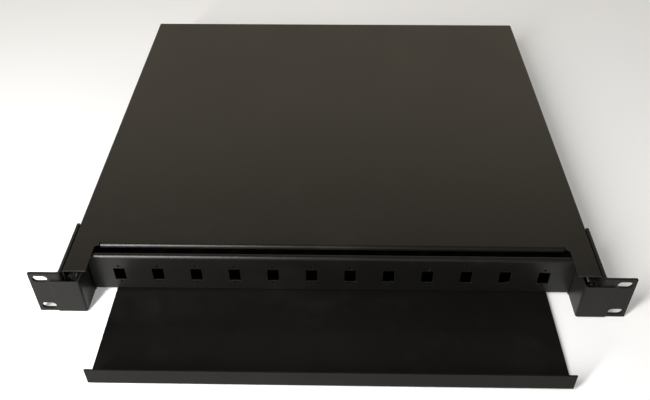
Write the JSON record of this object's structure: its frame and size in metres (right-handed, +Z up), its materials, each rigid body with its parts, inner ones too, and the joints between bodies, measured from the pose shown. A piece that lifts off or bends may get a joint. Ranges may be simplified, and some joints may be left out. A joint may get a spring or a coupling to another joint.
{
  "type": "fiber termination box",
  "caption": "Rack-mounted fiber termination box whose drawer slides out on ball-bearing rails, with a front adapter panel, a patch-cord tray and a splice cassette inside.",
  "frame": {"origin": "centre of the four rack slots, on the rear face of the ears", "axes": "+X to the right seen from the front, +Y to the rear, +Z up"},
  "size_m": [0.4826, 0.5103, 0.044],
  "materials": {
    "black_powder_coat": "fine-textured black powder coat, satin",
    "zinc_plated_rail": "rolled zinc-plated steel with a thin film of grease",
    "polished_steel": "polished bearing steel",
    "zinc_fastener": "bright zinc-plated screws and nuts",
    "black_fastener": "black-oxide screws",
    "black_nylon": "moulded black nylon",
    "white_plastic": "moulded off-white ABS",
    "clear_plastic": "clear polycarbonate sheet",
    "black_rubber": "moulded rubber",
    "yellow_brass": "plain brass"
  },
  "bodies": {
    "sleeve": {"sleeve_cover": "black_powder_coat", "sleeve_bottom": "black_powder_coat", "rear_panel": "black_powder_coat", "rack_ear_left": "black_powder_coat", "rack_ear_right": "black_powder_coat", "outer_rail_left": "zinc_plated_rail", "outer_rail_right": "zinc_plated_rail", "ear_clinch_nuts": "zinc_fastener", "outer_rail_screws": "zinc_fastener", "earth_washers": "zinc_fastener", "sleeve_screws": "black_fastener", "ear_screws": "black_fastener", "gland_body_left": "black_nylon", "gland_body_right": "black_nylon", "gland_locknuts": "black_nylon", "gland_dome_left": "black_nylon", "gland_dome_right": "black_nylon", "blanking_plugs": "black_nylon", "slide_stops": "black_rubber", "gland_seal_left": "black_rubber", "gland_seal_right": "black_rubber", "earth_stud": "yellow_brass", "earth_nuts": "yellow_brass"},
    "drawer": {"inner_rail_left": "zinc_plated_rail", "inner_rail_right": "zinc_plated_rail", "inner_rail_screws": "zinc_fastener", "inner_rail_nuts": "zinc_fastener", "drawer_tray": "black_powder_coat", "adapter_panel": "black_powder_coat", "front_bracket_left": "black_powder_coat", "front_bracket_right": "black_powder_coat", "panel_screws": "zinc_fastener", "panel_nuts": "zinc_fastener", "cassette_base": "white_plastic", "cassette_lid": "clear_plastic", "splice_combs": "white_plastic", "cassette_studs": "zinc_fastener", "cassette_thumb_nuts": "black_nylon", "spool_left": "white_plastic", "spool_right": "white_plastic", "spool_screws": "zinc_fastener", "fiber_clips": "white_plastic", "cable_clamps": "zinc_plated_rail", "cable_clamp_screws": "zinc_fastener"},
    "cage_left": {"ball_cage_left": "white_plastic", "balls_left": "polished_steel"},
    "cage_right": {"ball_cage_right": "white_plastic", "balls_right": "polished_steel"}
  },
  "joints": [
    {"name": "drawer_slide", "type": "slide", "parent": "sleeve", "child": "drawer", "axis": [0, -1, 0], "range_m": [0, 0.26]},
    {"name": "cage_left_slide", "type": "slide", "parent": "sleeve", "child": "cage_left", "axis": [0, -1, 0], "range_m": [0, 0.13]},
    {"name": "cage_right_slide", "type": "slide", "parent": "sleeve", "child": "cage_right", "axis": [0, -1, 0], "range_m": [0, 0.13]}
  ],
  "couplings": [
    {"joint": "cage_left_slide", "follows": "drawer_slide", "ratio": 0.5},
    {"joint": "cage_right_slide", "follows": "drawer_slide", "ratio": 0.5}
  ]
}
